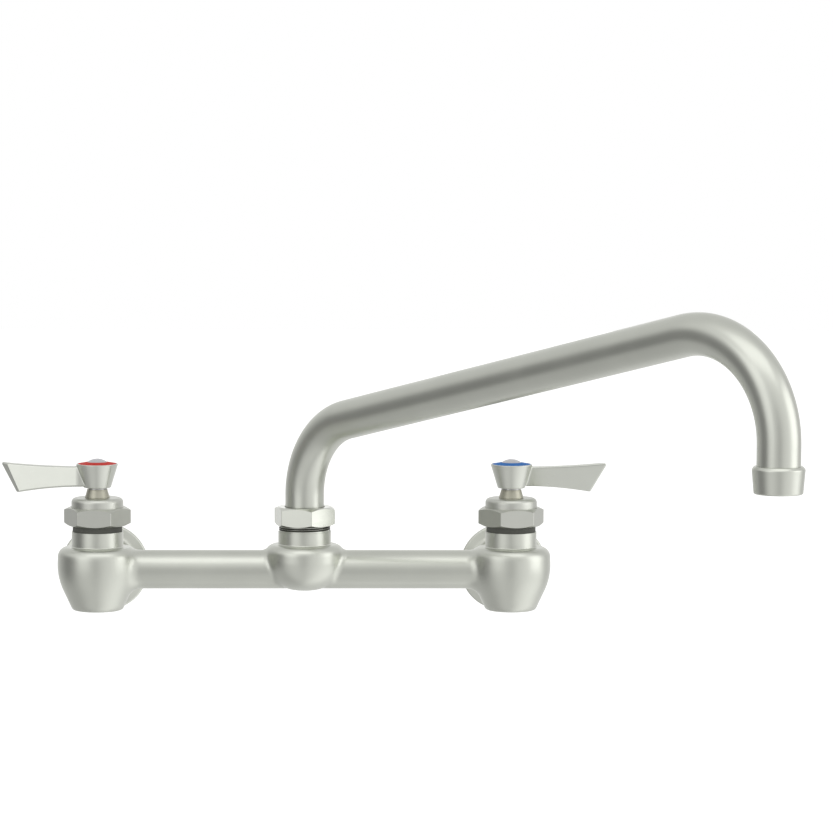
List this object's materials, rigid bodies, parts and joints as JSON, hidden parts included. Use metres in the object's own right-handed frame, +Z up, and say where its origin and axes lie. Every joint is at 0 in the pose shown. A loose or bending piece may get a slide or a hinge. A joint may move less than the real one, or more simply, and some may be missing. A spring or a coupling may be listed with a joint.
{
  "type": "commercial wall faucet",
  "caption": "Wall-mounted kitchen faucet: two lever valves on a cross tube, wall flanges behind them, and a long bent-tube spout that swings on a tee in the middle.",
  "frame": {"origin": "on the wall plane, midway between the two inlets and level with them", "axes": "+Z up, +Y into the wall, +X towards the cold valve; the faucet stands at negative Y"},
  "size_m": [0.3616, 0.3032, 0.1672],
  "materials": {
    "body_steel": "satin",
    "flange_steel": "satin",
    "bonnet_steel": "satin",
    "nut_steel": "satin",
    "spout_steel": "satin",
    "handle_steel": "satin",
    "screw_steel": "satin",
    "cartridge_brass": "machined",
    "ceramic": "polished",
    "black_rubber": "matte",
    "washer_plastic": "matte",
    "aerator_plastic": "matte",
    "index_red": "satin",
    "index_blue": "satin",
    "index_grey": "satin"
  },
  "bodies": {
    "faucet_body": {"hot_valve_body": "body_steel", "hot_inlet_shank": "body_steel", "hot_wall_flange": "flange_steel", "hot_flange_ring": "black_rubber", "hot_seat_seal": "black_rubber", "hot_fixed_disc": "ceramic", "hot_cartridge_housing": "cartridge_brass", "hot_bonnet_gasket": "black_rubber", "hot_bonnet": "bonnet_steel", "hot_cross_tube": "body_steel", "cold_valve_body": "body_steel", "cold_inlet_shank": "body_steel", "cold_wall_flange": "flange_steel", "cold_flange_ring": "black_rubber", "cold_seat_seal": "black_rubber", "cold_fixed_disc": "ceramic", "cold_cartridge_housing": "cartridge_brass", "cold_bonnet_gasket": "black_rubber", "cold_bonnet": "bonnet_steel", "cold_cross_tube": "body_steel", "outlet_tee": "body_steel", "spout_nut": "nut_steel", "swivel_washer": "washer_plastic"},
    "spout": {"spout_tube": "spout_steel", "swivel_sleeve": "cartridge_brass", "swivel_seals": "black_rubber", "outlet_collar": "spout_steel", "aerator_insert": "aerator_plastic", "outlet_washer": "black_rubber"},
    "hot_handle": {"hot_handle": "handle_steel", "hot_handle_screw": "screw_steel", "hot_index_ring": "index_red", "hot_index_cap": "index_grey", "hot_valve_stem": "cartridge_brass", "hot_stem_seals": "black_rubber", "hot_retaining_clip": "screw_steel", "hot_moving_disc": "ceramic"},
    "cold_handle": {"cold_handle": "handle_steel", "cold_handle_screw": "screw_steel", "cold_index_ring": "index_blue", "cold_index_cap": "index_grey", "cold_valve_stem": "cartridge_brass", "cold_stem_seals": "black_rubber", "cold_retaining_clip": "screw_steel", "cold_moving_disc": "ceramic"}
  },
  "joints": [
    {"name": "spout_swing", "type": "hinge", "parent": "faucet_body", "child": "spout", "pos_m": [0, -0.0635, 0.038], "axis": [0, 0, 1], "range_deg": [-139.5, 56.5]},
    {"name": "hot_handle_turn", "type": "hinge", "parent": "faucet_body", "child": "hot_handle", "pos_m": [-0.1016, -0.0635, 0.05], "axis": [0, 0, 1], "range_deg": [0, 90]},
    {"name": "cold_handle_turn", "type": "hinge", "parent": "faucet_body", "child": "cold_handle", "pos_m": [0.1016, -0.0635, 0.05], "axis": [0, 0, 1], "range_deg": [-90, 0]}
  ]
}
